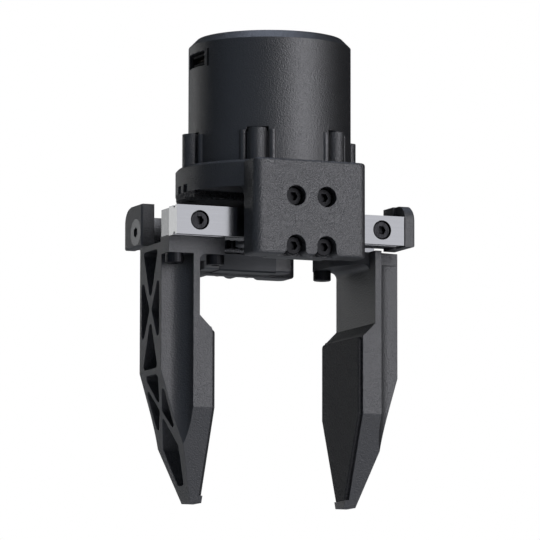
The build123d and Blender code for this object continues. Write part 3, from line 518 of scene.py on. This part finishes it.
# %% Lay the floor
floor_size = 12
floor_height = -0.36
floor_glow = 0.92
pool_turn = 180
pool_away = 1.15
pool_r = 1.05
pool_soft = 0.5
pool_light = 0.12
bpy.ops.mesh.primitive_plane_add(size=floor_size, location=(0, 0, floor_height))
floor = bpy.context.object
floor.name = "floor"
paint = Finish("floor_paint", {"Base Color": (0.8, 0.8, 0.8), "Roughness": 0.9, "Specular IOR Level": 0.0})
from_pool = paint.add("ShaderNodeVectorMath", {"operation": "DISTANCE"},
                      {0: paint.place, 1: heading(pool_turn) * pool_away}, "Value")
pool = ((pool_r - from_pool) * (1 / pool_soft)).clamped()
seen = paint.add("ShaderNodeLightPath", {}, {}, "Is Camera Ray")
mirrored = paint.add("ShaderNodeLightPath", {}, {}, "Is Glossy Ray")
pale = seen * floor_glow + mirrored * pool * pool_light
underneath = paint.add("ShaderNodeNewGeometry", {}, {}, "Backfacing")
paint.set({"Emission Color": paint.blend(pale, (0, 0, 0), (1, 1, 1)), "Emission Strength": 1.0,
           "Alpha": 1 - underneath})
floor.data.materials.append(paint.material)
print("floor at", floor_height, "m, its pool of radius", pool_r, "m lies", pool_away, "m away")

# %% [markdown]
# ## The world
# The world is white to the camera. Mirror-like rays see that white only where the studio's pale
# wall stands, behind the gripper on its left, and a dim blue-grey room everywhere else. A black
# product needs that dark room: in an all-white one every satin surface would turn grey.

# %% Paint the world
room_colour = (0.75, 0.85, 1.0)
room_light = 0.005
wall_turn = -132
wall_light = 0.3
wall_soft_edge = cos(radians(22))
wall_edge = cos(radians(6))
world = bpy.context.scene.world or bpy.data.worlds.new("studio")
bpy.context.scene.world = world
world.use_nodes = True
world.node_tree.nodes.clear()
sky = Nodes(world.node_tree)
compass = sky.add("ShaderNodeTexCoord", {}, {}, "Generated")
facing = sky.add("ShaderNodeVectorMath", {"operation": "DOT_PRODUCT"},
                 {0: compass, 1: heading(wall_turn)}, "Value")
wall = ((facing - wall_soft_edge) * (1 / (wall_edge - wall_soft_edge))).clamped()
seen = sky.add("ShaderNodeLightPath", {}, {}, "Is Camera Ray")
through = sky.add("ShaderNodeLightPath", {}, {}, "Is Transmission Ray")
mirrored = sky.add("ShaderNodeLightPath", {}, {}, "Is Glossy Ray")
white = (seen + through + mirrored * wall * wall_light).clamped()
room = sky.add("ShaderNodeBackground", {}, {"Color": room_colour, "Strength": room_light})
backdrop = sky.add("ShaderNodeBackground", {}, {"Color": (1, 1, 1), "Strength": 1.0})
mixed = sky.add("ShaderNodeMixShader", {}, {0: white, 1: room, 2: backdrop})
sky.feed(world.node_tree.nodes.new("ShaderNodeOutputWorld").inputs["Surface"], mixed)
print("world nodes", len(world.node_tree.nodes))

# %% [markdown]
# ## The lamps
# Five soft boxes light the gripper. The tall key stands to the right of the camera, where the
# block's face, the rails and the right half of the can mirror it. The narrow side light stands
# behind on the left, where the outer faces of the fingers mirror it. A broad cool fill on the
# camera's left and a back light keep the other views readable, and the top light lifts the can's
# chamfer. They are large because satin black shows a lamp's own shape, and a small one would
# leave hard spots.

# %% The soft box
def soft_box(name, turn, rise, away, size, power, colour=(1, 1, 1)):
    """Soft lamp that points at the middle of the gripper: its turn and rise are in degrees."""
    place = target + (heading(turn) * cos(radians(rise)) + Vector((0, 0, sin(radians(rise))))) * away
    data = bpy.data.lights.new(name, "AREA")
    data.shape = "RECTANGLE"
    data.size, data.size_y = size
    data.energy = power
    data.color = colour
    lamp = bpy.data.objects.new(name, data)
    bpy.context.scene.collection.objects.link(lamp)
    lamp.location = place
    lamp.rotation_euler = (target - place).to_track_quat("-Z", "Y").to_euler()
    print(name, "at", [round(v, 2) for v in place])


# %% Set the five lamps
soft_box("key", turn=48, rise=14, away=1.2, size=(0.65, 1.1), power=3.6, colour=(0.94, 0.94, 1.0))
soft_box("side", turn=-134.5, rise=6, away=1.2, size=(0.14, 1.2), power=0.82)
soft_box("fill", turn=-38, rise=10, away=1.6, size=(2.9, 1.5), power=1.4, colour=(0.66, 0.78, 1.0))
soft_box("back", turn=-162, rise=8, away=1.6, size=(1.5, 1.4), power=0.8, colour=(0.9, 0.95, 1.0))
soft_box("top", turn=180, rise=83, away=1.2, size=(0.8, 0.8), power=2.4, colour=(0.72, 0.8, 1.0))

# %% [markdown]
# ## Colours as written
# The standard view keeps a colour of 0.5 at 0.5, where the default view would flatten it.

# %% Finish
bpy.context.scene.view_settings.view_transform = "Standard"
